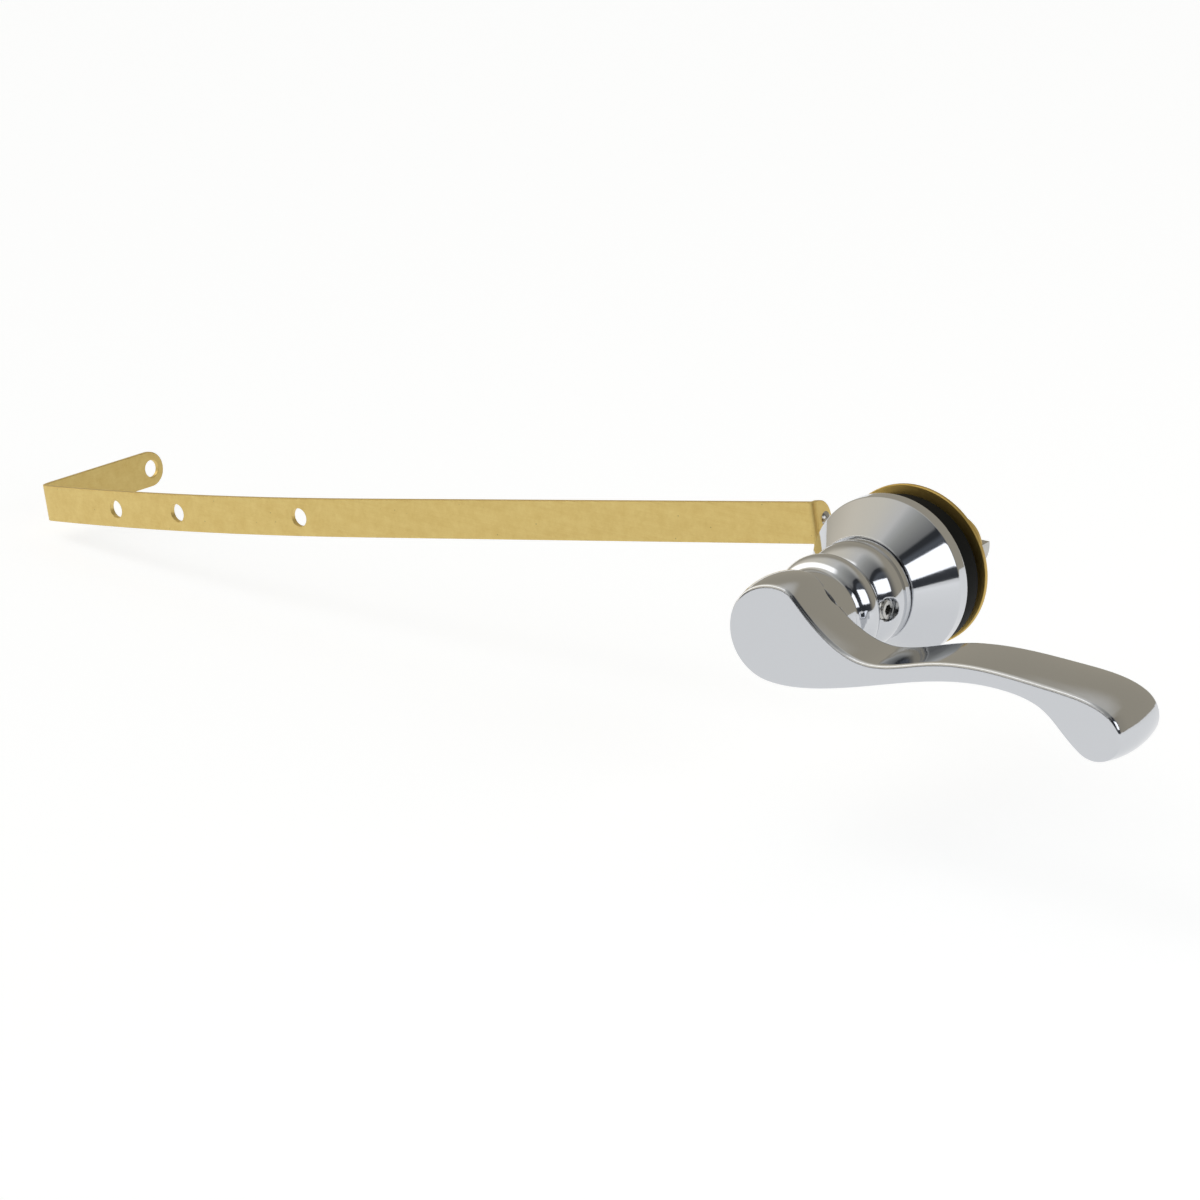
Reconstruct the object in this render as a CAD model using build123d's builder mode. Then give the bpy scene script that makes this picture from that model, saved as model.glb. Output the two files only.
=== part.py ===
from build123d import *
import math
import os

# Cistern lever: a chromed handle outside the tank turns a spindle through a threaded shank,
# and a brass arm on the spindle's inner end lifts the chain.
# Millimetres. X to the handle's tip, Y into the tank, Z up.
# The origin is where the spindle's axis meets the gasket's back face, which seats on the tank wall.

# Handle
handle_front_to_wall = 53.3
head_radius = 10.35
head_shift = -0.85
head_rise = 0.35
head_top_deg = 92.0
head_bottom_deg = 260.0
tip_radius = 5.4
tip_reach = 72.1
tip_drop = 5.6
tip_top_deg = 55.0
tip_bottom_deg = -125.0
brow_reach = 4.6
brow_height = 8.3
shoulder_reach = 8.0
shoulder_height = 5.0
dip_reach = 20.0
dip_height = -1.3
rise_reach = 35.0
rise_height = 1.6
crown_to_tip = 10.3
crown_height = 2.0
belly_reach = 13.0
belly_height = -8.4
throat_reach = 27.0
throat_height = -4.6
arch_to_tip = 20.8
arch_height = -0.75
heel_to_tip = 12.0
heel_height = -2.6
slab_depth_head = 11.3
slab_depth_middle = 12.5
slab_depth_tip = 17.1
flare_start = 20.2
flare_middle = 40.4
flare_slope = 0.16
slab_round = 0.8
swell_head = 0.9
middle_slope = 0.07
swell_tip = 1.25
swell_depth_head = 12.6
swell_depth_tip = 18.6
slab_sections = 4
neck_radius = 9.8
neck_round = 1.4
bead_radius = 12.0
bead_front_width = 3.5
bead_back_width = 4.2
bead_to_wall = 33.3
waist_radius = 8.9
waist_to_wall = 28.0
bell_radius = 11.5
bell_shoulder = 1.8
bell_bulge = 0.9

# Set screw in the bell
screw_radius = 2.25
screw_to_wall = 25.9
screw_length = 6.7
screw_chamfer = 0.3
screw_mouth_radius = 2.6
screw_mouth_depth = 0.5
screw_socket = 2.1
screw_socket_depth = 2.2
screw_clearance = 0.06

# Spindle
spindle_radius = 4.5
spindle_fit = 0.05
spindle_into_hub = 21.0
spindle_flat = 0.9
flat_margin = 2.5
spindle_chamfer = 0.6
spindle_head_radius = 7.1
spindle_head_length = 9.6
lap_length = 4.7
lap_height = 0.9

# Escutcheon and the stack behind it
escutcheon_radius = 18.2
rim_width = 3.3
cone_length = 8.7
cone_front_radius = 11.9
escutcheon_wall = 2.6
rim_front_round = 0.9
rim_back_round = 0.4
gasket_thickness = 6.0
gasket_inset = 0.8
gasket_round = 0.4
hub_gap = 0.3
thrust_washer_thickness = 0.22
thrust_washer_radius = 10.2
wall_gap = 2.1
washer_thickness = 1.0
washer_radius = 18.0
washer_round = 0.25
nut_flats = 22.0
nut_thickness = 6.0
nut_chamfer = 1.0

# Threaded shank
shank_radius = 7.4
shank_length_inside = 14.0
shank_flange_radius = 10.5
shank_flange_thickness = 3.0
shank_clearance = 0.15
thread_clearance = 0.05
shank_chamfer = 0.6
stop_width_deg = 40.0
stop_height = 2.0
stop_clearance = 0.3
stop_slack_deg = 1.5
lever_travel_deg = 35.0
head_gap = 0.2
guide_clearance = 0.35

# Arm strip
strip_width = 9.525
strip_thickness = 1.2
strip_to_wall = 17.5
strip_rise = 5.0
strip_droop_deg = 9.8
strip_start = 32.9
root_fold_radius = 0.3
ear_straight = 0.25
strip_straight_to = 163.0
strip_bow_radius = 580.0
strip_bow_length = 119.0
strip_fold_radius = 2.4
tail_length = 39.0
tail_hole_to_end = 4.0
tail_turn_deg = 97.0
chain_hole_radius = 2.38
chain_holes_at = (184.25, 227.75, 252.2)

# Bracket between spindle and arm
bracket_thickness = 1.6
bracket_eye_radius = 7.0
bracket_shoulder = 19.0
bracket_neck = 27.0
bracket_below_strip = 4.6
bracket_throat = 14.0
bracket_bend_round = 1.0
neck_gap = 0.4
rivet_radius = 0.9
rivet_head_radius = 1.75
rivet_head_height = 0.8
rivet_tail_height = 0.6
rivet_from_fold = 2.7
fastener_clearance = 0.05
bracket_screw_radius = 1.5
bracket_screw_head_radius = 2.6
bracket_screw_head_height = 1.8
bracket_screw_height = 3.9
bracket_screw_depth = 4.0
driver_slot = 0.7

# How far a cutting shape runs past what it cuts
cut_margin = 1.0

os.makedirs("parts", exist_ok=True)

# Places along the spindle's axis, from the front to the inside of the tank
front_y = -handle_front_to_wall
slab_back_y = front_y + slab_depth_head
bead_y = -bead_to_wall
rim_back_y = -gasket_thickness
rim_front_y = rim_back_y - rim_width
cone_front_y = rim_front_y - cone_length
hub_end_y = cone_front_y - hub_gap
spindle_front_y = hub_end_y - spindle_into_hub
flange_front_y = cone_front_y + escutcheon_wall
flange_back_y = flange_front_y + shank_flange_thickness
washer_back_y = wall_gap + washer_thickness
nut_back_y = washer_back_y + nut_thickness
shank_end_y = shank_length_inside
head_front_y = shank_end_y + head_gap
head_back_y = head_front_y + spindle_head_length
bracket_front_y = head_back_y - lap_length
bracket_back_y = bracket_front_y + bracket_thickness
root_fold_outer = root_fold_radius + strip_thickness
rivet_y = strip_to_wall + root_fold_outer + rivet_from_fold
set_screw_y = -screw_to_wall
bore_radius = spindle_radius + spindle_fit
flat_x = spindle_radius - spindle_flat
strip_low = strip_rise - strip_width / 2
bracket_low = strip_low - bracket_below_strip
tab_front = strip_start + strip_thickness
tab_back = tab_front + bracket_thickness
tab_half = rivet_y - bracket_front_y
gasket_radius = escutcheon_radius - gasket_inset
screw_out_x = flat_x + screw_length
front_hole_radius = spindle_radius + guide_clearance
stop_inner = bore_radius + stop_clearance + shank_clearance

# The arm's own frame: along the strip, and across its width
droop = math.radians(strip_droop_deg)
along = Vector(-math.cos(droop), 0, -math.sin(droop))
across = Vector(-math.sin(droop), 0, math.cos(droop))


def arm_place(x, z):
    """Distance along the arm and across it of a point given by X and Z."""
    return (-x * math.cos(droop) - z * math.sin(droop), z * math.cos(droop) - x * math.sin(droop))


def turned(radius, front, back, bore=None):
    """Add a disc about the spindle's axis, from front to back along Y, with a bore if one is given."""
    front_end = (Align.CENTER, Align.CENTER, Align.MAX)
    with Locations(Plane.XZ.offset(-front)):
        Cylinder(radius, back - front, align=front_end)
        if bore:
            Cylinder(bore, back - front, align=front_end, mode=Mode.SUBTRACT)


def swell(depth, most, full):
    """How far the handle's side stands out at a depth from its front, the most at half of full."""
    return 4 * most * depth / full * (1 - depth / full)


def slab_outline(depth):
    """Face of the handle's teardrop outline at a depth from its front."""
    at_head = swell(depth, swell_head, swell_depth_head)
    at_middle = middle_slope * depth
    at_tip = swell(depth, swell_tip, swell_depth_tip)
    with BuildSketch(Plane.XZ.offset(-front_y - depth)) as outline:
        with BuildLine():
            head_turn = head_bottom_deg - head_top_deg
            head = CenterArc((head_shift, head_rise), head_radius + at_head, head_top_deg, head_turn)
            tip_turn = tip_top_deg - tip_bottom_deg
            tip = CenterArc((tip_reach, -tip_drop), tip_radius + at_tip, tip_bottom_deg, tip_turn)
            crown = (tip_reach - crown_to_tip, crown_height + at_tip)
            rise = (rise_reach, rise_height + at_middle)
            dip = (dip_reach, dip_height + at_middle)
            shoulder = (shoulder_reach, shoulder_height + at_head)
            brow = (brow_reach, brow_height + at_head)
            Spline(tip @ 1, crown, rise, dip, shoulder, brow, head @ 0, tangents=(tip % 1, head % 0))
            belly = (belly_reach, belly_height - at_head)
            throat = (throat_reach, throat_height - at_middle)
            arch = (tip_reach - arch_to_tip, arch_height - at_middle)
            heel = (tip_reach - heel_to_tip, heel_height - at_tip)
            Spline(head @ 1, belly, throat, arch, heel, tip @ 0, tangents=(head % 1, tip % 0))
        make_face()
    return outline.sketch.face()


# Handle: a teardrop slab that deepens to its tip, its sides swelling a little, with a turned bead
# and bell behind its head
with BuildPart() as handle:
    slab_full = slab_depth_tip + cut_margin
    loft([slab_outline(slab_full * i / (slab_sections - 1)) for i in range(slab_sections)])
    with BuildSketch(Plane.XY):
        with BuildLine():
            left = head_shift - head_radius - swell_head - cut_margin
            right = tip_reach + tip_radius + swell_tip + cut_margin
            flare_begin = (flare_start, slab_back_y)
            flare_end = (right, front_y + slab_depth_tip)
            Polyline(flare_begin, (left, slab_back_y), (left, front_y), (right, front_y), flare_end)
            Spline(flare_begin, (flare_middle, front_y + slab_depth_middle), flare_end,
                   tangents=((1, 0), (1, flare_slope)))
        make_face()
    extrude(amount=head_radius + tip_drop + tip_radius, both=True, mode=Mode.INTERSECT)
    rim = handle.edges().filter_by(Axis.Z, reverse=True).filter_by(
        lambda e: ((e @ 0).Y < front_y + slab_round) == ((e @ 1).Y < front_y + slab_round))
    fillet(rim, slab_round)
    with BuildSketch(Plane.XY) as hub:
        with BuildLine():
            bead_front = (neck_radius, bead_y - bead_front_width)
            bead_back = (waist_radius, bead_y + bead_back_width)
            bell_top = (bell_radius, hub_end_y - bell_shoulder)
            Polyline((0, hub_end_y), (0, slab_back_y - cut_margin), (neck_radius, slab_back_y - cut_margin),
                     bead_front)
            ThreePointArc(bead_front, (bead_radius, bead_y), bead_back)
            Line(bead_back, (waist_radius, -waist_to_wall))
            middle = (
                (waist_radius + bell_radius) / 2 + bell_bulge,
                (hub_end_y - bell_shoulder - waist_to_wall) / 2 - bell_bulge,
            )
            ThreePointArc((waist_radius, -waist_to_wall), middle, bell_top)
            Polyline(bell_top, (bell_radius, hub_end_y), (0, hub_end_y))
        make_face()
        fillet(hub.vertices().sort_by_distance(bead_front)[0], neck_round)
    revolve(axis=Axis.Y)
    with BuildSketch(Plane.XZ.offset(-hub_end_y)):
        Circle(bore_radius)
    extrude(amount=spindle_into_hub + spindle_fit, mode=Mode.SUBTRACT)
    with BuildSketch(Plane.YZ):
        with Locations((set_screw_y, 0)):
            Circle(screw_radius + screw_clearance)
    extrude(amount=bead_radius, mode=Mode.SUBTRACT)
    with BuildSketch(Plane.YZ.offset(screw_out_x - screw_mouth_depth)):
        with Locations((set_screw_y, 0)):
            Circle(screw_mouth_radius)
    extrude(amount=bead_radius, mode=Mode.SUBTRACT)
handle.part.label = "handle"
export_step(handle.part, "parts/handle.step")

# Set screw: a headless screw with a hexagon socket, tight on the spindle's flat
with BuildPart() as handle_set_screw:
    with BuildSketch(Plane.YZ.offset(flat_x)):
        with Locations((set_screw_y, 0)):
            Circle(screw_radius)
    extrude(amount=screw_length)
    chamfer(handle_set_screw.edges().group_by(Axis.X)[-1], screw_chamfer)
    with BuildSketch(Plane.YZ.offset(screw_out_x)):
        with Locations((set_screw_y, 0)):
            RegularPolygon(screw_socket / 2, 6, major_radius=False)
    extrude(amount=-screw_socket_depth, mode=Mode.SUBTRACT)
handle_set_screw.part.label = "handle_set_screw"
export_step(handle_set_screw.part, "parts/handle_set_screw.step")

# Spindle: turned from the inside end, with a flat for the set screw, a lap for the bracket
# and a slot in the front of its head that the shank's stop runs in
with BuildPart() as spindle:
    turned(spindle_radius, spindle_front_y, head_front_y)
    chamfer(spindle.edges().group_by(Axis.Y)[0], spindle_chamfer)
    turned(spindle_head_radius, head_front_y, head_back_y)
    flat_length = 2 * (screw_radius + flat_margin)
    with Locations((flat_x, set_screw_y, 0)):
        Box(spindle_radius, flat_length, 2 * spindle_radius,
            align=(Align.MIN, Align.CENTER, Align.CENTER), mode=Mode.SUBTRACT)
    with Locations((0, bracket_front_y, lap_height)):
        Box(2 * spindle_head_radius, lap_length, spindle_head_radius,
            align=(Align.CENTER, Align.MIN, Align.MIN), mode=Mode.SUBTRACT)
    with BuildSketch(Plane.XZ.offset(-head_front_y)):
        slot_start = -90 - stop_width_deg / 2 - stop_slack_deg
        slot_sweep = stop_width_deg + lever_travel_deg + 2 * stop_slack_deg
        with BuildLine():
            outer = CenterArc((0, 0), spindle_head_radius + cut_margin, slot_start, slot_sweep)
            inner = CenterArc((0, 0), stop_inner - stop_clearance, slot_start, slot_sweep)
            Line(outer @ 0, inner @ 0)
            Line(outer @ 1, inner @ 1)
        make_face()
    extrude(amount=-(stop_height + stop_clearance), mode=Mode.SUBTRACT)
    with BuildSketch(Plane.XZ.offset(-bracket_front_y)):
        with Locations((0, bracket_screw_height)):
            Circle(bracket_screw_radius + fastener_clearance)
    extrude(amount=bracket_screw_depth + fastener_clearance, mode=Mode.SUBTRACT)
spindle.part.label = "spindle"
export_step(spindle.part, "parts/spindle.step")

# Thrust washer: thin nylon, between the turning bell and the still escutcheon
with BuildPart() as thrust_washer:
    turned(thrust_washer_radius, cone_front_y - thrust_washer_thickness, cone_front_y, front_hole_radius)
thrust_washer.part.label = "thrust_washer"
export_step(thrust_washer.part, "parts/thrust_washer.step")

# Escutcheon: a chromed cone with a plain rim, hollow behind, with the shank's flange in its nose
with BuildPart() as escutcheon:
    with BuildSketch(Plane.XY):
        with BuildLine():
            pocket_radius = shank_flange_radius + shank_clearance
            rim_inner = escutcheon_radius - escutcheon_wall
            Polyline(
                (front_hole_radius, cone_front_y), (cone_front_radius, cone_front_y),
                (escutcheon_radius, rim_front_y), (escutcheon_radius, rim_back_y),
                (rim_inner, rim_back_y), (rim_inner, rim_front_y), (pocket_radius, flange_back_y),
                (pocket_radius, flange_front_y), (front_hole_radius, flange_front_y), close=True,
            )
        make_face()
    revolve(axis=Axis.Y)
    outer_rim = escutcheon.edges().filter_by(GeomType.CIRCLE).filter_by(
        lambda e: e.radius > escutcheon_radius - rim_back_round).sort_by(Axis.Y)
    fillet(outer_rim[0], rim_front_round)
    fillet(outer_rim[-1], rim_back_round)
escutcheon.part.label = "escutcheon"
export_step(escutcheon.part, "parts/escutcheon.step")

# Shank: a brass tube with a flange at the front and a stop at its inner end
with BuildPart() as shank:
    turned(shank_radius, flange_front_y, shank_end_y, bore_radius)
    chamfer(shank.edges().group_by(Axis.Y)[-1].sort_by(SortBy.RADIUS)[-1], shank_chamfer)
    turned(shank_flange_radius, flange_front_y, flange_back_y, bore_radius)
    with BuildSketch(Plane.XZ.offset(-shank_end_y)):
        with BuildLine():
            stop_start = -90 - stop_width_deg / 2
            outer = CenterArc((0, 0), shank_radius - shank_chamfer, stop_start, stop_width_deg)
            inner = CenterArc((0, 0), stop_inner, stop_start, stop_width_deg)
            Line(outer @ 0, inner @ 0)
            Line(outer @ 1, inner @ 1)
        make_face()
    extrude(amount=-stop_height)
shank.part.label = "shank"
export_step(shank.part, "parts/shank.step")

# Gasket: a thick rubber ring that seats on the tank wall
with BuildPart() as gasket:
    turned(gasket_radius, rim_back_y, 0, shank_radius + shank_clearance)
    fillet(gasket.edges().group_by(Axis.Y)[0].sort_by(SortBy.RADIUS)[-1], gasket_round)
    fillet(gasket.edges().group_by(Axis.Y)[-1].sort_by(SortBy.RADIUS)[-1], gasket_round)
gasket.part.label = "gasket"
export_step(gasket.part, "parts/gasket.step")

# Clamp washer: a thin brass disc, drawn against the inside of the tank wall by the nut
with BuildPart() as clamp_washer:
    turned(washer_radius, wall_gap, washer_back_y, shank_radius + shank_clearance)
    rings = clamp_washer.edges().filter_by(GeomType.CIRCLE).sort_by(SortBy.RADIUS)
    fillet(rings[-2:], washer_round)
clamp_washer.part.label = "clamp_washer"
export_step(clamp_washer.part, "parts/clamp_washer.step")

# Lock nut: brass hexagon with its back corners turned off
with BuildPart() as lock_nut:
    with BuildSketch(Plane.XZ.offset(-washer_back_y)):
        RegularPolygon(nut_flats / 2, 6, major_radius=False)
        Circle(shank_radius + thread_clearance, mode=Mode.SUBTRACT)
    extrude(amount=-nut_thickness)
    with BuildSketch(Plane.XY):
        with BuildLine():
            corner = nut_flats / math.sqrt(3)
            Polyline(
                (0, washer_back_y), (corner, washer_back_y), (corner, nut_back_y - nut_chamfer),
                (nut_flats / 2, nut_back_y), (0, nut_back_y), close=True,
            )
        make_face()
    revolve(axis=Axis.Y, mode=Mode.INTERSECT)
lock_nut.part.label = "lock_nut"
export_step(lock_nut.part, "parts/lock_nut.step")


def arm_station(distance):
    """Plane on the arm's front face, at a distance from the axis along the straight or bowed run."""
    turn = max(distance - strip_straight_to, 0) / strip_bow_radius
    run = min(distance, strip_straight_to) + strip_bow_radius * math.sin(turn)
    back = strip_bow_radius * (1 - math.cos(turn))
    place = along * run + across * strip_rise + Vector(0, strip_to_wall + back, 0)
    heading = along * math.cos(turn) + Vector(0, math.sin(turn), 0)
    return Plane(origin=place, x_dir=heading, z_dir=heading.cross(across))


# Middle of the hole in the tail's rounded end
bow_turn = strip_bow_length / strip_bow_radius
fold_turn = math.radians(tail_turn_deg)
fold_outer = strip_fold_radius + strip_thickness
bow_end = arm_station(strip_straight_to + strip_bow_length)
tail_heading = along * math.cos(fold_turn) + Vector(0, math.sin(fold_turn), 0)
fold_run = along * (math.sin(fold_turn) - math.sin(bow_turn))
fold_back = Vector(0, math.cos(bow_turn) - math.cos(fold_turn), 0)
tail_start = bow_end.origin + (fold_run + fold_back) * fold_outer
tail_middle = tail_start + tail_heading * (tail_length - tail_hole_to_end)
tail_station = Plane(origin=tail_middle, x_dir=tail_heading, z_dir=tail_heading.cross(across))

# Middle of the rivet, on the face of the ear that looks towards the spindle
rivet_middle = along * strip_start + across * strip_rise + Vector(0, rivet_y, 0)
rivet_station = Plane(origin=rivet_middle, x_dir=(0, 1, 0), z_dir=along)
rivet_grip = strip_thickness + bracket_thickness

# Arm: one brass strip, with a rounded ear folded back at its root, bowed back towards its outer end,
# and folded there into a rounded tail
with BuildPart() as arm:
    top_edge = across * (strip_rise + strip_width / 2) + Vector(0, strip_to_wall, 0)
    with BuildSketch(Plane(origin=top_edge, x_dir=along, z_dir=-across)):
        with BuildLine():
            bow_deg = math.degrees(bow_turn)
            ear_end = root_fold_outer + ear_straight + strip_width / 2
            ear = Line((strip_start, ear_end), (strip_start, root_fold_outer))
            root = JernArc(ear @ 1, ear % 1, root_fold_outer, 90)
            run = Line(root @ 1, (strip_straight_to, 0))
            bow = JernArc(run @ 1, run % 1, strip_bow_radius, bow_deg)
            fold = JernArc(bow @ 1, bow % 1, fold_outer, tail_turn_deg - bow_deg)
            Line(fold @ 1, fold @ 1 + (fold % 1) * tail_length)
            offset(amount=strip_thickness, side=Side.LEFT)
        make_face()
    extrude(amount=strip_width)
    short = arm.edges().filter_by(lambda e: abs(e.length - strip_thickness) < strip_thickness / 10)
    fillet(short, strip_width / 2 - strip_thickness / 100)
    with Locations(*[arm_station(at) for at in chain_holes_at], tail_station):
        Cylinder(chain_hole_radius, 4 * strip_thickness, mode=Mode.SUBTRACT)
    with Locations(rivet_station):
        Cylinder(rivet_radius + fastener_clearance, 4 * strip_thickness, mode=Mode.SUBTRACT)
arm.part.label = "arm"
export_step(arm.part, "parts/arm.step")

# Bracket: a brass plate on the spindle's lap, with a neck that runs under the arm's ear
# and a tab bent up behind it
with BuildPart() as arm_bracket:
    with BuildSketch(Plane(origin=(0, bracket_front_y, 0), x_dir=along, z_dir=(0, 1, 0))):
        lap_right = arm_place(math.sqrt(bracket_eye_radius**2 - lap_height**2), lap_height)
        lap_left = arm_place(-spindle_head_radius - shank_clearance, lap_height)
        eye_top = (0, bracket_eye_radius)
        eye_side = (-bracket_eye_radius * math.sqrt(0.5), bracket_eye_radius * math.sqrt(0.5))
        neck_top = strip_low - neck_gap
        with BuildLine():
            ThreePointArc(lap_right, eye_side, eye_top)
            Polyline(eye_top, (bracket_shoulder, bracket_eye_radius), (bracket_neck, neck_top),
                     (tab_back, neck_top), (tab_back, bracket_low), (bracket_throat, bracket_low),
                     lap_left, lap_right)
        make_face()
    extrude(amount=bracket_thickness)
    with BuildSketch(Plane(origin=along * tab_front, x_dir=(0, -1, 0), z_dir=along)):
        with Locations((-rivet_y, strip_rise)):
            Circle(tab_half)
            Rectangle(2 * tab_half, strip_rise - bracket_low, align=(Align.CENTER, Align.MAX))
    extrude(amount=bracket_thickness)
    upright = arm_bracket.edges().filter_by(Axis((0, 0, 0), across))
    fillet(upright.group_by(Axis.Y)[0].sort_by(Axis.X)[0], bracket_bend_round)
    with Locations(rivet_station):
        Cylinder(rivet_radius + fastener_clearance, 4 * rivet_grip, mode=Mode.SUBTRACT)
    with BuildSketch(Plane.XZ.offset(-bracket_front_y)):
        with Locations((0, bracket_screw_height)):
            Circle(bracket_screw_radius + fastener_clearance)
    extrude(amount=-bracket_thickness, mode=Mode.SUBTRACT)
arm_bracket.part.label = "arm_bracket"
export_step(arm_bracket.part, "parts/arm_bracket.step")

# Rivet: plated steel, domed on the ear and set flat behind the bracket's tab
with BuildPart() as arm_rivet:
    with BuildSketch(Plane(origin=rivet_middle, x_dir=(0, 1, 0), z_dir=across)):
        rivet_end = rivet_grip + rivet_tail_height
        with BuildLine():
            Polyline(
                (0, -rivet_head_height), (0, rivet_end), (rivet_head_radius, rivet_end),
                (rivet_head_radius, rivet_grip), (rivet_radius, rivet_grip), (rivet_radius, 0),
                (rivet_head_radius, 0),
            )
            dome_radius = (rivet_head_radius**2 + rivet_head_height**2) / (2 * rivet_head_height)
            RadiusArc((rivet_head_radius, 0), (0, -rivet_head_height), dome_radius)
        make_face()
    revolve(axis=Axis(rivet_middle, along))
arm_rivet.part.label = "arm_rivet"
export_step(arm_rivet.part, "parts/arm_rivet.step")

# Bracket screw: holds the bracket against the shoulder of the spindle's lap
with BuildPart() as bracket_screw:
    with BuildSketch(Plane.XZ.offset(-(bracket_front_y - bracket_screw_depth))):
        with Locations((0, bracket_screw_height)):
            Circle(bracket_screw_radius)
    extrude(amount=-(bracket_screw_depth + bracket_thickness))
    with BuildSketch(Plane.XZ.offset(-bracket_back_y)):
        with Locations((0, bracket_screw_height)):
            Circle(bracket_screw_head_radius)
    extrude(amount=-bracket_screw_head_height)
    head_end_y = bracket_back_y + bracket_screw_head_height
    with Locations((0, head_end_y, bracket_screw_height)):
        Box(2 * bracket_screw_head_radius, bracket_screw_head_height, driver_slot, mode=Mode.SUBTRACT)
bracket_screw.part.label = "bracket_screw"
export_step(bracket_screw.part, "parts/bracket_screw.step")
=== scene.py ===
import math

import bmesh
import bpy
import numpy as np
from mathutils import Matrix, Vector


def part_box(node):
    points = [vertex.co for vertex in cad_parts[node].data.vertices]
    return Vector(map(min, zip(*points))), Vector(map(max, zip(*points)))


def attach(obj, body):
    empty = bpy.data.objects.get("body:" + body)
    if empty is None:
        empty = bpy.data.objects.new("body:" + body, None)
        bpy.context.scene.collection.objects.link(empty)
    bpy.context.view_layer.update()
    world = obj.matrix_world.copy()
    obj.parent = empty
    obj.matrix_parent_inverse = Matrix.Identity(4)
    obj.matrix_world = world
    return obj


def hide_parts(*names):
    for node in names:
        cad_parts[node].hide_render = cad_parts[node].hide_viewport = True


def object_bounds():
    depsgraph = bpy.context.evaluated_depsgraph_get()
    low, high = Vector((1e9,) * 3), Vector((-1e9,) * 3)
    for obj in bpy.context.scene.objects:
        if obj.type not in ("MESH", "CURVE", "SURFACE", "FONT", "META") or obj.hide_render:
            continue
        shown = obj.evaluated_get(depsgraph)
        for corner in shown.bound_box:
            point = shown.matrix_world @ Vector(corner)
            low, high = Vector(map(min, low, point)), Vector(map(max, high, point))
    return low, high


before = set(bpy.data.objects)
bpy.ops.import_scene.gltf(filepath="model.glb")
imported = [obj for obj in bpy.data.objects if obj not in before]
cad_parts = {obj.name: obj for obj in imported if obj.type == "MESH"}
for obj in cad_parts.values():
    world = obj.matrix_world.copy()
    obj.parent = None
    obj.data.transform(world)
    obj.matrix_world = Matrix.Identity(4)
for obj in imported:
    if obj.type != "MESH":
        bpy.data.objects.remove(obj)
cad_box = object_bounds()
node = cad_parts

# Shank: the threaded brass tube that carries the whole lever in the tank wall's hole.
# It is turned from bar, with a flange that sits in the nose of the escutcheon, a rolled thread
# for the lock nut, and a milled stop at its inner end that limits how far the spindle turns.
MM = 0.001
shank_flange = {"radius": 10.5 * MM, "front": -15.4 * MM, "back": -12.4 * MM}
shank_barrel = {"radius": 7.4 * MM, "bore": 4.55 * MM, "end": 14.0 * MM, "chamfer": 0.6 * MM}
thread = {"pitch": 1.25 * MM, "depth": 0.62 * MM, "from": -8.0 * MM}
thread_run_in = 1.5 * MM
thread_run_out = thread["pitch"] / 2
thread_flat = 0.1
rows_per_pitch = 14
round_columns = 120
stop_block = {"inner": 5.0 * MM, "outer": 6.8 * MM, "height": 2.0 * MM, "sunk": 0.1 * MM}
stop_arc = (math.radians(-110), math.radians(-70))
stop_columns = 16
merge_within = 0.001 * MM
crease_angle = math.radians(35)


def linear(hex_colour):
    """Linear RGBA of an sRGB hex colour.
    A value s becomes ((s + 0.055) / 1.055) ** 2.4, or s / 12.92 when dark."""
    s = np.array([int(hex_colour[i:i + 2], 16) / 255 for i in (1, 3, 5)])
    return (*np.where(s <= 0.04045, s / 12.92, ((s + 0.055) / 1.055) ** 2.4), 1.0)


def feed(tree, made, inputs):
    """Feed a node's inputs: each takes a value, or the output socket that it is linked to."""
    for name, value in inputs.items():
        if isinstance(value, bpy.types.NodeSocket):
            tree.links.new(value, made.inputs[name])
        else:
            made.inputs[name].default_value = value


def add(tree, kind, inputs, **options):
    """Add a node of this kind with its options, and feed its inputs."""
    made = tree.nodes.new("ShaderNode" + kind)
    for name, value in options.items():
        setattr(made, name, value)
    feed(tree, made, inputs)
    return made


def new_finish(name):
    """A material with one Principled shader; returns it, its tree, the shader and its Object coordinates."""
    made = bpy.data.materials.new(name)
    made.use_nodes = True
    tree = made.node_tree
    tree.nodes.clear()
    shader = add(tree, "BsdfPrincipled", {})
    add(tree, "OutputMaterial", {"Surface": shader.outputs["BSDF"]})
    return made, tree, shader, add(tree, "TexCoord", {}).outputs["Object"]


def grain_scale(size_mm):
    """Noise or Voronoi scale that gives grains of this size, for coordinates in metres."""
    return 1 / (size_mm * MM)


def ring_scale(pitch_mm):
    """Wave scale that gives rings this far apart: a wave repeats every 2 pi / 20 of its scaled length."""
    return 2 * math.pi / 20 / (pitch_mm * MM)


def dress(name, finish):
    """Give a CAD node its finish."""
    node[name].data.materials.clear()
    node[name].data.materials.append(finish)


# Turned brass: free-cutting bar, machined and left bare, so fine rings show round the axis
# and the bare metal has dulled a little in patches. Real rings are finer, so these are drawn to show.
turned_brass, tree, shader, place = new_finish("turned_brass")
rings = add(tree, "TexWave", {"Vector": place, "Scale": ring_scale(0.45), "Distortion": 1.5, "Detail": 2.0},
            wave_type="RINGS", rings_direction="Y")
patches = add(tree, "TexNoise", {"Vector": place, "Scale": grain_scale(7), "Detail": 4.0})
tone = add(tree, "Mix", {"Factor": patches.outputs["Fac"], "A": linear("#BFA055"), "B": linear("#D6BA72")},
           data_type="RGBA")
dulling = add(tree, "MapRange", {"Value": patches.outputs["Fac"], "To Min": 0.52, "To Max": 0.38})
cut = add(tree, "Bump", {"Height": rings.outputs["Fac"], "Strength": 0.12, "Distance": 0.03 * MM})
feed(tree, shader, {"Base Color": tone.outputs["Result"], "Roughness": dulling.outputs["Result"],
                    "Normal": cut.outputs["Normal"], "Metallic": 1.0})


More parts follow.
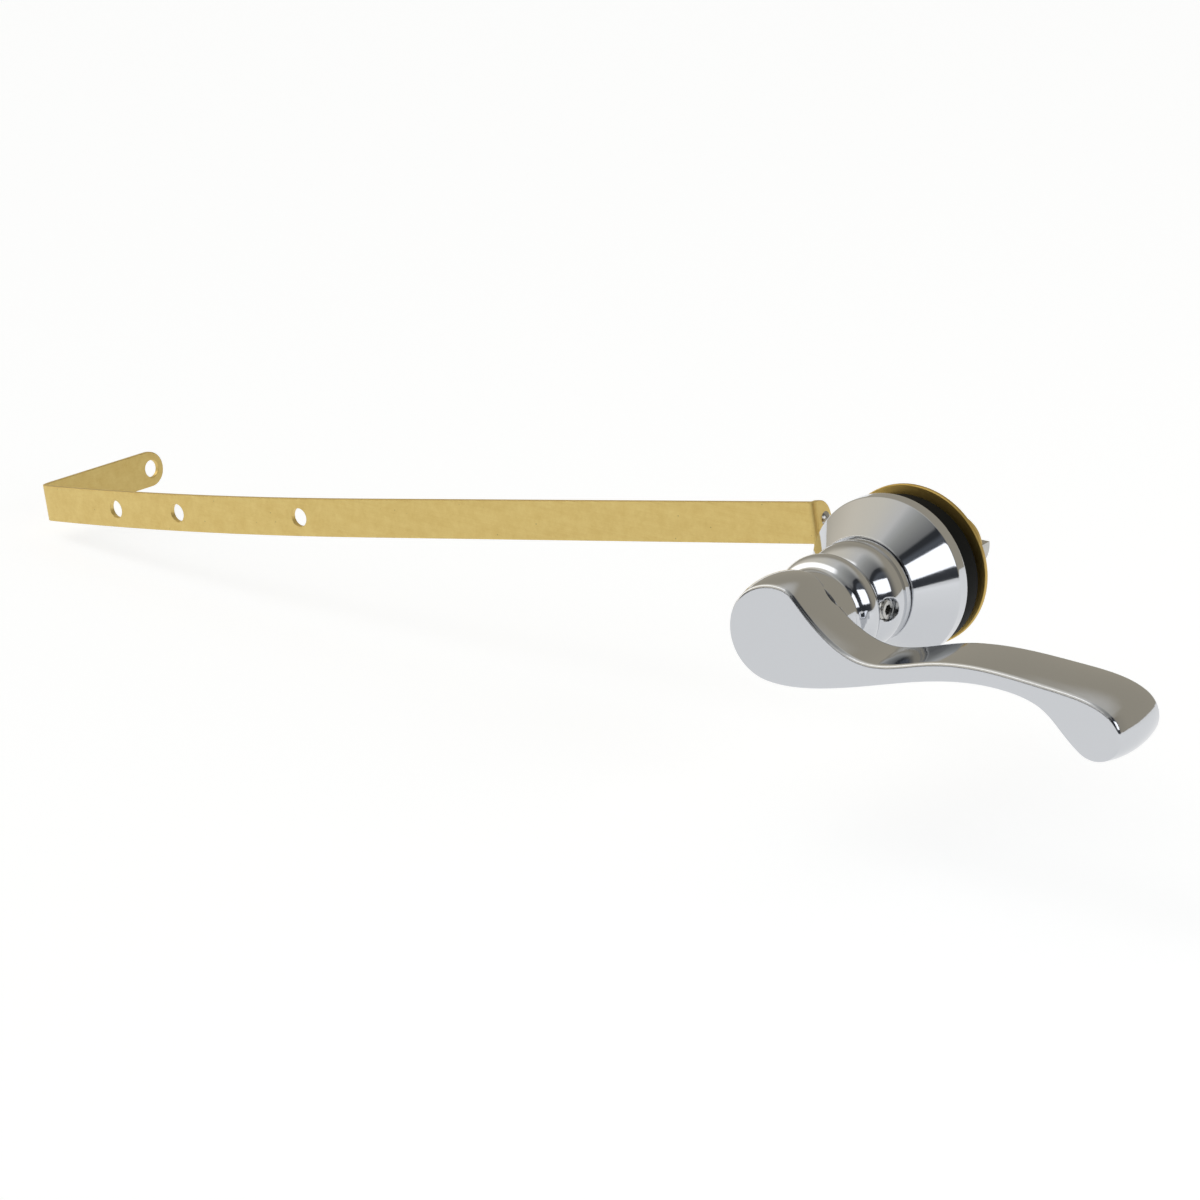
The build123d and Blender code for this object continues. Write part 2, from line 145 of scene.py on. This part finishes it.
def turned_grid(name, radius, along, angles, axis="Y", centre=(0.0, 0.0, 0.0)):
    """Closed surface about an axis. Row v has a radius r at each angle u and a place along the axis,
    so its points are (r cos u, along, r sin u), rolled round to the axis and moved to the centre.
    The last row joins the first. A full turn joins itself, a shorter arc gets end caps, and a row
    of no radius merges into a pole."""
    rows, columns = along.size, angles.size
    radius = np.broadcast_to(radius, (rows, columns))
    along = np.broadcast_to(along[:, None], (rows, columns))
    points = np.stack([radius * np.cos(angles), along, radius * np.sin(angles)], axis=-1)
    points = np.roll(points, {"X": -1, "Y": 0}[axis], axis=-1).reshape(-1, 3) + centre
    full_turn = abs(angles[-1] - angles[0]) > math.pi
    v = np.arange(rows)[:, None]
    u = np.arange(columns if full_turn else columns - 1)[None, :]
    row, next_row = v * columns, (v + 1) % rows * columns
    next_u = (u + 1) % columns
    quads = np.stack([row + u, next_row + u, next_row + next_u, row + next_u], axis=-1)
    faces = quads.reshape(-1, 4).tolist()
    if not full_turn:
        first_cap = np.arange(rows) * columns
        faces += [first_cap[::-1].tolist(), (first_cap + columns - 1).tolist()]
    mesh = bpy.data.meshes.new(name)
    mesh.from_pydata(points.tolist(), [], faces)
    shell = bmesh.new()
    shell.from_mesh(mesh)
    bmesh.ops.remove_doubles(shell, verts=shell.verts, dist=merge_within)
    shell.to_mesh(mesh)
    shell.free()
    mesh.shade_smooth()
    mesh.set_sharp_from_angle(angle=crease_angle)
    return mesh


def show(name, mesh, finish, body):
    """Put a mesh into the scene at the origin with its finish, riding on a body."""
    made = bpy.data.objects.new(name, mesh)
    bpy.context.scene.collection.objects.link(made)
    mesh.materials.append(finish)
    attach(made, body)
    return made


def thread_profile(turns):
    """How deep a thread is cut, once for each whole turn: a triangle wave from 0 on its crests to 1 in its
    roots, with the flat share of its height taken off at both."""
    saw = np.abs((turns % 1) * 2 - 1)
    return np.clip((saw - thread_flat) / (1 - 2 * thread_flat), 0, 1)


bore, crest, chamfer = shank_barrel["bore"], shank_barrel["radius"], shank_barrel["chamfer"]
thread_end = shank_barrel["end"] - chamfer
threaded_length = np.arange(thread["from"], thread_end, thread["pitch"] / rows_per_pitch)
shank_radii = np.concatenate([
    [bore, shank_flange["radius"], shank_flange["radius"], crest],
    np.full(threaded_length.size, crest),
    [crest - chamfer, bore],
])
shank_places = np.concatenate([
    [shank_flange["front"], shank_flange["front"], shank_flange["back"], shank_flange["back"]],
    threaded_length,
    [shank_barrel["end"], shank_barrel["end"]],
])
round_angles = np.linspace(0, 2 * math.pi, round_columns, endpoint=False)
starts = np.clip((shank_places - thread["from"]) / thread_run_in, 0, 1)
ends = np.clip((thread_end - shank_places) / thread_run_out, 0, 1)
depth = thread["depth"] * (starts * ends * (shank_radii == crest))[:, None]
turns = shank_places[:, None] / thread["pitch"] + round_angles[None, :] / (2 * math.pi)
shank_mesh = turned_grid("threaded_shank", shank_radii[:, None] - depth * thread_profile(turns), shank_places,
                         round_angles)
threaded_shank = show("threaded_shank", shank_mesh, turned_brass, "housing")
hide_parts("shank")

stop_front = shank_barrel["end"] - stop_block["sunk"]
stop_back = shank_barrel["end"] + stop_block["height"]
stop_radii = np.array([stop_block["inner"], stop_block["outer"], stop_block["outer"], stop_block["inner"]])
stop_places = np.array([stop_front, stop_front, stop_back, stop_back])
stop_mesh = turned_grid("shank_stop", stop_radii[:, None], stop_places, np.linspace(*stop_arc, stop_columns))
show("shank_stop", stop_mesh, turned_brass, "housing")

# Escutcheon: the cone that covers the hole in the tank, cast in zinc alloy and hollow behind.
# It is polished, then plated with copper, nickel and chrome, and the shank's flange sits in its nose.
chrome_edge = 0.4 * MM

# Polished chrome plate: it mirrors the room. Wiping leaves it a little hazy in patches, casting
# leaves a faint ripple, and the polishing wheel eases every edge.
chrome_plate, tree, shader, place = new_finish("polished_chrome_plate")
haze = add(tree, "TexNoise", {"Vector": place, "Scale": grain_scale(11), "Detail": 5.0, "Roughness": 0.6})
wiped = add(tree, "MapRange", {"Value": haze.outputs["Fac"], "From Min": 0.3, "From Max": 0.7,
                               "To Min": 0.045, "To Max": 0.085})
ripple = add(tree, "TexNoise", {"Vector": place, "Scale": grain_scale(16), "Detail": 1.0})
eased = add(tree, "Bevel", {"Radius": chrome_edge}, samples=6)
cast = add(tree, "Bump", {"Height": ripple.outputs["Fac"], "Strength": 0.25, "Distance": 0.05 * MM,
                          "Normal": eased.outputs["Normal"]})
feed(tree, shader, {"Base Color": linear("#C8CACE"), "Roughness": wiped.outputs["Result"],
                    "Normal": cast.outputs["Normal"], "Metallic": 1.0})
dress("escutcheon", chrome_plate)

# Gasket: the thick rubber ring that seals the hole and takes up an uneven tank wall.
# It is cut from moulded black sheet, and its corners are a little rounded.
# Until the nut squeezes it, it hangs loose on the shank, a little low and to one side.
gasket_ring = {"radius": 17.0 * MM, "bore": 8.05 * MM, "front": -6.0 * MM, "back": 0.0, "round": 0.4 * MM}
gasket_hang = (0.4 * MM, 0.0, -0.4 * MM)
corner_rows = 6

# Moulded black rubber: matt, with a grey bloom in patches and a grain drawn coarse enough to show.
black_rubber, tree, shader, place = new_finish("moulded_black_rubber")
bloom = add(tree, "TexNoise", {"Vector": place, "Scale": grain_scale(4), "Detail": 5.0})
tone = add(tree, "Mix", {"Factor": bloom.outputs["Fac"], "A": linear("#060707"), "B": linear("#101211")},
           data_type="RGBA")
grain = add(tree, "TexNoise", {"Vector": place, "Scale": grain_scale(0.35), "Detail": 2.0})
pores = add(tree, "Bump", {"Height": grain.outputs["Fac"], "Strength": 0.35, "Distance": 0.05 * MM})
feed(tree, shader, {"Base Color": tone.outputs["Result"], "Normal": pores.outputs["Normal"], "Roughness": 0.7,
                    "IOR": 1.52, "Specular IOR Level": 0.12})

corner = np.linspace(0, math.pi / 2, corner_rows)
rounding = gasket_ring["round"]
flat_radius = gasket_ring["radius"] - rounding
ring_radii = np.concatenate([
    [gasket_ring["bore"]],
    flat_radius + rounding * np.sin(corner),
    flat_radius + rounding * np.cos(corner),
    [gasket_ring["bore"]],
])
ring_places = np.concatenate([
    [gasket_ring["front"]],
    gasket_ring["front"] + rounding * (1 - np.cos(corner)),
    gasket_ring["back"] - rounding * (1 - np.sin(corner)),
    [gasket_ring["back"]],
])
gasket_mesh = turned_grid("hung_gasket", ring_radii[:, None], ring_places, round_angles, centre=gasket_hang)
hung_gasket = show("hung_gasket", gasket_mesh, black_rubber, "housing")
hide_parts("gasket")

# Clamp washer and lock nut: the washer is stamped from thin brass sheet and the nut is cut from
# hexagon bar. The nut draws the washer up against the inside of the tank wall.
dress("clamp_washer", turned_brass)
dress("lock_nut", turned_brass)

# Thrust washer: a thin nylon ring that keeps the turning hub off the still escutcheon.
# It is punched from sheet, milky and slightly waxy, and shows only as a fine line.
nylon, tree, shader, place = new_finish("natural_nylon")
cloud = add(tree, "TexNoise", {"Vector": place, "Scale": grain_scale(2), "Detail": 3.0})
tone = add(tree, "Mix", {"Factor": cloud.outputs["Fac"], "A": linear("#6E6A60"), "B": linear("#8A867B")},
           data_type="RGBA")
feed(tree, shader, {"Base Color": tone.outputs["Result"], "Roughness": 0.45, "IOR": 1.53})
dress("thrust_washer", nylon)

# Spindle and its small fasteners: free-cutting steel, turned and nickel plated.
# The plating is bright but thin, so the tool's rings still show through it, drawn coarse enough to see.
nickel_plate, tree, shader, place = new_finish("nickel_plated_steel")
rings = add(tree, "TexWave", {"Vector": place, "Scale": ring_scale(0.3), "Distortion": 1.0, "Detail": 2.0},
            wave_type="RINGS", rings_direction="Y")
patches = add(tree, "TexNoise", {"Vector": place, "Scale": grain_scale(3), "Detail": 4.0})
tone = add(tree, "Mix", {"Factor": patches.outputs["Fac"], "A": linear("#A9A8A4"), "B": linear("#C9C8C4")},
           data_type="RGBA")
dulling = add(tree, "MapRange", {"Value": patches.outputs["Fac"], "To Min": 0.32, "To Max": 0.2})
cut = add(tree, "Bump", {"Height": rings.outputs["Fac"], "Strength": 0.1, "Distance": 0.02 * MM})
feed(tree, shader, {"Base Color": tone.outputs["Result"], "Roughness": dulling.outputs["Result"],
                    "Normal": cut.outputs["Normal"], "Metallic": 1.0})
for name in ("spindle", "arm_rivet", "bracket_screw"):
    dress(name, nickel_plate)

# Handle: a zinc casting, a teardrop slab with a turned bead and bell behind its head, polished
# and plated as the escutcheon is. It slides on the spindle, and the set screw grips the flat.
dress("handle", chrome_plate)

# Set screw: a headless steel screw in the side of the bell, tight on the spindle's flat. It is threaded
# over its whole length and driven by a hexagon socket, and it stands a little out of its hole.
screw_low, screw_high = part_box("handle_set_screw")
screw_centre = (0.0, (screw_low.y + screw_high.y) / 2, (screw_low.z + screw_high.z) / 2)
screw_crest = (screw_high.z - screw_low.z) / 2
screw_thread = {"pitch": 0.8 * MM, "depth": 0.45 * MM, "chamfer": 0.3 * MM}
hex_socket = {"flats": 2.1 * MM, "depth": 2.2 * MM}
screw_columns = 72


def hexagon_radius(flats, angles):
    """From a hexagon's centre to its side: half the flats over the cosine of the angle
    to the nearest flat's middle."""
    from_flat = (angles + math.pi / 6) % (math.pi / 3) - math.pi / 6
    return flats / 2 / np.cos(from_flat)


screw_angles = np.linspace(0, 2 * math.pi, screw_columns, endpoint=False)
screw_run = np.arange(screw_low.x + screw_thread["chamfer"], screw_high.x - screw_thread["chamfer"],
                      screw_thread["pitch"] / rows_per_pitch)
screw_places = np.concatenate([[screw_low.x, screw_low.x], screw_run, [screw_high.x, screw_high.x],
                               np.full(2, screw_high.x - hex_socket["depth"])])
screw_turns = screw_run[:, None] / screw_thread["pitch"] + screw_angles[None, :] / (2 * math.pi)
screw_flanks = screw_crest - screw_thread["depth"] * thread_profile(screw_turns)
pole = np.zeros((1, screw_columns))
inner_end = np.full((1, screw_columns), screw_crest - screw_thread["depth"] - screw_thread["chamfer"])
outer_end = np.full((1, screw_columns), screw_crest - screw_thread["chamfer"])
socket_wall = hexagon_radius(hex_socket["flats"], screw_angles)[None, :]
screw_radii = np.concatenate([pole, inner_end, screw_flanks, outer_end, socket_wall, socket_wall, pole])
screw_mesh = turned_grid("threaded_set_screw", screw_radii, screw_places, screw_angles, "X", screw_centre)
threaded_set_screw = show("threaded_set_screw", screw_mesh, nickel_plate, "lever")
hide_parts("handle_set_screw")

# Arm: rolled brass strip, cropped to length, punched for the chain's hook, bowed and folded.
# It droops towards its outer end, where its tail is folded back, deeper into the tank.
droop = math.radians(9.8)
tail_from = 33.5 * MM
strip_edge = 0.3 * MM
line_stretch = 0.02

# Rolled satin brass: left as rolled, with fine lines along its length, small dark pits and faint tarnish.
# The lines turn with the fold, and they are drawn coarse enough to show.
satin_brass, tree, shader, place = new_finish("rolled_satin_brass")
along_run = add(tree, "Mapping", {"Vector": place, "Rotation": (0, droop, 0), "Scale": (line_stretch, 1, 1)})
along_tail = add(tree, "Mapping", {"Vector": place, "Rotation": (0, droop, 0), "Scale": (1, line_stretch, 1)})
run_lines = add(tree, "TexNoise", {"Vector": along_run.outputs["Vector"], "Scale": grain_scale(0.3),
                                   "Detail": 3.0})
tail_lines = add(tree, "TexNoise", {"Vector": along_tail.outputs["Vector"], "Scale": grain_scale(0.3),
                                    "Detail": 3.0})
depth_in = add(tree, "SeparateXYZ", {"Vector": place})
on_tail = add(tree, "Math", {0: depth_in.outputs["Y"], 1: tail_from}, operation="GREATER_THAN")
lines = add(tree, "Mix", {"Factor": on_tail.outputs["Value"], "A": run_lines.outputs["Fac"],
                          "B": tail_lines.outputs["Fac"]})
tarnish = add(tree, "TexNoise", {"Vector": place, "Scale": grain_scale(3.5), "Detail": 6.0, "Roughness": 0.8})
patchy = add(tree, "MapRange", {"Value": tarnish.outputs["Fac"], "From Min": 0.3, "From Max": 0.7})
tone = add(tree, "Mix", {"Factor": patchy.outputs["Result"], "A": linear("#DCC078"), "B": linear("#E8D18B")},
           data_type="RGBA")
pits = add(tree, "TexVoronoi", {"Vector": place, "Scale": grain_scale(3.2)})
pitted = add(tree, "MapRange", {"Value": pits.outputs["Distance"], "From Min": 0.03, "From Max": 0.07,
                                "To Min": 0.62, "To Max": 1.0})
speckled = add(tree, "Mix", {"Factor": 1.0, "A": tone.outputs["Result"], "B": pitted.outputs["Result"]},
               data_type="RGBA", blend_type="MULTIPLY")
satin = add(tree, "MapRange", {"Value": lines.outputs["Result"], "From Min": 0.3, "From Max": 0.7,
                               "To Min": 0.44, "To Max": 0.56})
eased = add(tree, "Bevel", {"Radius": strip_edge}, samples=6)
rolled = add(tree, "Bump", {"Height": lines.outputs["Result"], "Strength": 0.15, "Distance": 0.02 * MM,
                            "Normal": eased.outputs["Normal"]})
feed(tree, shader, {"Base Color": speckled.outputs["Result"], "Roughness": satin.outputs["Result"],
                    "Normal": rolled.outputs["Normal"], "Metallic": 1.0})
dress("arm", satin_brass)

# Bracket: a brass plate pressed from thicker strip and screwed to the spindle's lap. Its neck passes under
# the arm's folded ear, and a round tab turned up behind the ear is riveted to it.
# It has the arm's rolled finish.
dress("arm_bracket", satin_brass)

# Studio: a pale floor that runs white into the background, a softbox low on the right, and a room with
# a white panel and a strip light on its left, dark cloth low in front, a dark stand and wall on its right,
# and warm grey walls behind. The floor lies low enough to clear the handle's tip when the lever is turned.
floor_drop = 5.0 * MM
floor_half = 6.0
floor_glow_share = 0.5
floor_glow = 1.46
scene = bpy.context.scene
scene.view_settings.view_transform = "Standard"


def towards(azimuth_deg, elevation_deg):
    """Unit vector from the object: azimuth 0 is in front of it, 90 on its right."""
    a, e = math.radians(azimuth_deg), math.radians(elevation_deg)
    return np.array([math.sin(a) * math.cos(e), -math.cos(a) * math.cos(e), math.sin(e)])


def softbox(name, azimuth_deg, elevation_deg, distance, width, height, brightness, colour):
    """Area lamp facing the object; its power is brightness times pi times its area."""
    lamp = bpy.data.lights.new(name, "AREA")
    lamp.shape = "RECTANGLE"
    lamp.size, lamp.size_y = width, height
    lamp.energy = brightness * math.pi * width * height
    lamp.color = linear(colour)[:3]
    made = bpy.data.objects.new(name, lamp)
    made.location = towards(azimuth_deg, elevation_deg) * distance
    made.rotation_euler = (math.radians(90 - elevation_deg), 0, math.radians(azimuth_deg))
    made.visible_camera = False
    scene.collection.objects.link(made)


softbox("right_softbox", azimuth_deg=78, elevation_deg=25, distance=0.8, width=0.66, height=0.36,
        brightness=1.8, colour="#FBFCFF")

# Pale floor paint: matt off-white. The camera and the mirror-like plate see half of it as plain white,
# and the other half keeps the shadow.
floor_paint, tree, shader, _ = new_finish("pale_floor")
feed(tree, shader, {"Base Color": linear("#F4F4F3"), "Roughness": 0.9})
rays = add(tree, "LightPath", {})
looked = add(tree, "Math", {0: rays.outputs["Is Camera Ray"], 1: rays.outputs["Is Glossy Ray"]},
             operation="ADD")
seen = add(tree, "Math", {0: looked.outputs["Value"], 1: rays.outputs["Is Transmission Ray"]}, operation="ADD",
           use_clamp=True)
share = add(tree, "Math", {0: seen.outputs["Value"], 1: floor_glow_share}, operation="MULTIPLY")
white = add(tree, "Emission", {"Color": linear("#FAFCFF"), "Strength": floor_glow})
mixed = add(tree, "MixShader", {0: share.outputs["Value"], 1: shader.outputs["BSDF"],
                                2: white.outputs["Emission"]})
feed(tree, tree.get_output_node("CYCLES"), {"Surface": mixed.outputs["Shader"]})
floor_height = cad_box[0].z - floor_drop
floor_mesh = bpy.data.meshes.new("floor")
floor_mesh.from_pydata([(-floor_half, -floor_half, floor_height), (floor_half, -floor_half, floor_height),
                        (floor_half, floor_half, floor_height), (-floor_half, floor_half, floor_height)], [],
                       [(0, 1, 2, 3)])
floor_mesh.materials.append(floor_paint)
floor = bpy.data.objects.new("floor", floor_mesh)
scene.collection.objects.link(floor)

# The side tones go from the room's left, 0, to its right, 1. Each reach gives where a part of the room begins
# and where it is full: a value along one axis of the viewing direction, or the cosine or sine of an angle.
side_tones = (
    (0.0, "#F2E8D4"), (0.25, "#EDE7D8"), (0.45, "#E2E0DB"), (0.51, "#C8C8C4"), (0.6, "#ADADA8"),
    (0.75, "#828281"), (0.772, "#383A3D"), (0.81, "#383A3D"), (0.84, "#5E6268"), (1.0, "#404246"),
)
back_reach = {"From Min": 0.12, "From Max": 0.65}
upper_reach = {"From Min": 0.65, "From Max": 0.87}
cloth_height_reach = {"From Min": 0.22, "From Max": 0.1}
cloth_front_reach = {"From Min": 0.0, "From Max": -0.4}
stand_middle = towards(26, 16)
stand_reach = {"From Min": math.cos(math.radians(28)), "From Max": math.cos(math.radians(14))}
strip_pole = (0.185, 0.846, 0.5)
strip_width_reach = {"From Min": math.sin(math.radians(13)), "From Max": math.sin(math.radians(4))}
strip_length_reach = {"From Min": 0.05, "From Max": -0.15, "To Max": 1.1}
smooth = {"interpolation_type": "SMOOTHSTEP"}

room = bpy.data.worlds.new("room")
room.use_nodes = True
scene.world = room
tree = room.node_tree
tree.nodes.clear()
way = add(tree, "TexCoord", {}).outputs["Generated"]
facing = add(tree, "SeparateXYZ", {"Vector": way})
across = add(tree, "MapRange", {"Value": facing.outputs["X"], "From Min": -1.0, "From Max": 1.0})
sides = add(tree, "ValToRGB", {"Fac": across.outputs["Result"]})
ramp = sides.color_ramp.elements
for position, _ in side_tones[1:-1]:
    ramp.new(position)
for step, (_, colour) in zip(ramp, side_tones):
    step.color = linear(colour)
behind = add(tree, "MapRange", {"Value": facing.outputs["Y"], **back_reach}, **smooth)
upper = add(tree, "MapRange", {"Value": facing.outputs["Z"], **upper_reach}, **smooth)
back_wall = add(tree, "Mix", {"Factor": upper.outputs["Result"], "A": linear("#AFA898"),
                              "B": linear("#D3D0C8")}, data_type="RGBA")
walls = add(tree, "Mix", {"Factor": behind.outputs["Result"], "A": sides.outputs["Color"],
                          "B": back_wall.outputs["Result"]}, data_type="RGBA")
low = add(tree, "MapRange", {"Value": facing.outputs["Z"], **cloth_height_reach}, **smooth)
ahead = add(tree, "MapRange", {"Value": facing.outputs["Y"], **cloth_front_reach}, **smooth)
cloth = add(tree, "Math", {0: low.outputs["Result"], 1: ahead.outputs["Result"]}, operation="MULTIPLY")
draped = add(tree, "Mix", {"Factor": cloth.outputs["Value"], "A": walls.outputs["Result"],
                           "B": linear("#3A3C40")}, data_type="RGBA")
near_stand = add(tree, "VectorMath", {0: way, 1: stand_middle}, operation="DOT_PRODUCT")
stand = add(tree, "MapRange", {"Value": near_stand.outputs["Value"], **stand_reach}, **smooth)
room_colour = add(tree, "Mix", {"Factor": stand.outputs["Result"], "A": draped.outputs["Result"],
                                "B": linear("#2A2C30")}, data_type="RGBA")
room_light = add(tree, "Background", {"Color": room_colour.outputs["Result"], "Strength": 1.0})
from_strip = add(tree, "VectorMath", {0: way, 1: strip_pole}, operation="DOT_PRODUCT")
off_strip = add(tree, "Math", {0: from_strip.outputs["Value"]}, operation="ABSOLUTE")
strip_across = add(tree, "MapRange", {"Value": off_strip.outputs["Value"], **strip_width_reach}, **smooth)
strip_along = add(tree, "MapRange", {"Value": facing.outputs["X"], **strip_length_reach}, **smooth)
strip = add(tree, "Math", {0: strip_across.outputs["Result"], 1: strip_along.outputs["Result"]},
            operation="MULTIPLY")
strip_light = add(tree, "Background", {"Color": linear("#FFFFFF"), "Strength": strip.outputs["Value"]})
both = add(tree, "AddShader", {0: room_light.outputs["Background"], 1: strip_light.outputs["Background"]})
add(tree, "OutputWorld", {"Surface": both.outputs["Shader"]})

# Camera: the photograph's own place and angle, a long lens on a square frame.
camera_tilt_deg = 19.079
camera_turn_deg = 34.435
lens = bpy.data.cameras.new("camera")
lens.lens, lens.sensor_width = 108.0, 36.0
lens.clip_start, lens.clip_end = 0.01, 50.0
camera = bpy.data.objects.new("camera", lens)
camera.location = (359.3 * MM, -640.4 * MM, 245.7 * MM)
camera.rotation_euler = (math.radians(90 - camera_tilt_deg), 0, math.radians(camera_turn_deg))
scene.collection.objects.link(camera)
scene.camera = camera
